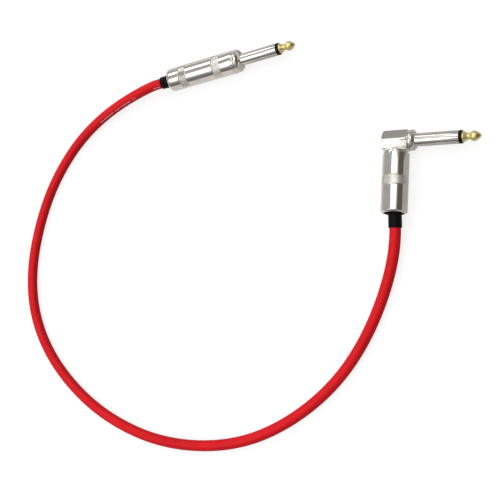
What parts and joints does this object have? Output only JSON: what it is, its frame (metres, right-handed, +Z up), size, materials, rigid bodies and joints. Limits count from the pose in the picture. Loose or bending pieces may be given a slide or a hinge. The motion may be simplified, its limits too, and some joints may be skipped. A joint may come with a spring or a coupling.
{
  "type": "instrument cable",
  "caption": "Short red guitar patch cable lying in an open loop, with a straight quarter-inch plug and a right-angle plug whose knurled barrels unscrew.",
  "frame": {"origin": "bottom centre of the box around the two plugs, on the surface that the cable lies on", "axes": "+X the way the right-angle plug's shaft points, +Z up from the surface"},
  "size_m": [0.2665, 0.2143, 0.013],
  "materials": {
    "jacket_red": "satin-glossy flexible vinyl",
    "nickel": "polished nickel plate",
    "gold": "polished gold plate",
    "black_plastic": "glossy moulded ring",
    "shrink_black": "satin shrink tube",
    "clear_plastic": "milky clear plastic",
    "copper": "bright copper",
    "solder": "satin solder",
    "fibre": "pressed fibre board"
  },
  "bodies": {
    "cable": {"cable_jacket": "jacket_red", "straight_tip": "gold", "straight_insulator": "black_plastic", "straight_sleeve": "nickel", "straight_body": "nickel", "straight_ground_lug": "nickel", "straight_washer": "fibre", "straight_tip_lug": "nickel", "straight_wire": "copper", "straight_wire_insulation": "clear_plastic", "straight_shield_tail": "copper", "straight_tip_solder": "solder", "straight_ground_solder": "solder", "straight_collar": "shrink_black", "angled_tip": "gold", "angled_insulator": "black_plastic", "angled_sleeve": "nickel", "angled_head": "nickel", "angled_end_cap": "nickel", "angled_washer": "fibre", "angled_tip_strip": "nickel", "angled_ground_lug": "nickel", "angled_wire": "copper", "angled_wire_insulation": "clear_plastic", "angled_shield_tail": "copper", "angled_tip_solder": "solder", "angled_ground_solder": "solder", "angled_collar": "shrink_black"},
    "straight_liner": {"straight_liner": "clear_plastic"},
    "straight_barrel": {"straight_barrel": "nickel"},
    "angled_liner": {"angled_liner": "clear_plastic"},
    "angled_barrel": {"angled_barrel": "nickel"}
  },
  "joints": [
    {"name": "straight_slide", "type": "slide", "parent": "cable", "child": "straight_liner", "axis": [-0.9877, -0.1564, 0], "range_m": [0, 0.006]},
    {"name": "straight_screw", "type": "hinge", "parent": "straight_liner", "child": "straight_barrel", "pos_m": [-0.039, 0.0429, 0.00625], "axis": [-0.9877, -0.1564, 0], "range_deg": [0, 2160]},
    {"name": "angled_slide", "type": "slide", "parent": "cable", "child": "angled_liner", "axis": [0, -1, 0], "range_m": [0, 0.006]},
    {"name": "angled_screw", "type": "hinge", "parent": "angled_liner", "child": "angled_barrel", "pos_m": [0.0494, -0.0085, 0.0065], "axis": [0, -1, 0], "range_deg": [0, 2160]}
  ],
  "couplings": [
    {"joint": "straight_slide", "follows": "straight_screw", "m_per_rad": 0.00015915},
    {"joint": "angled_slide", "follows": "angled_screw", "m_per_rad": 0.00015915}
  ]
}
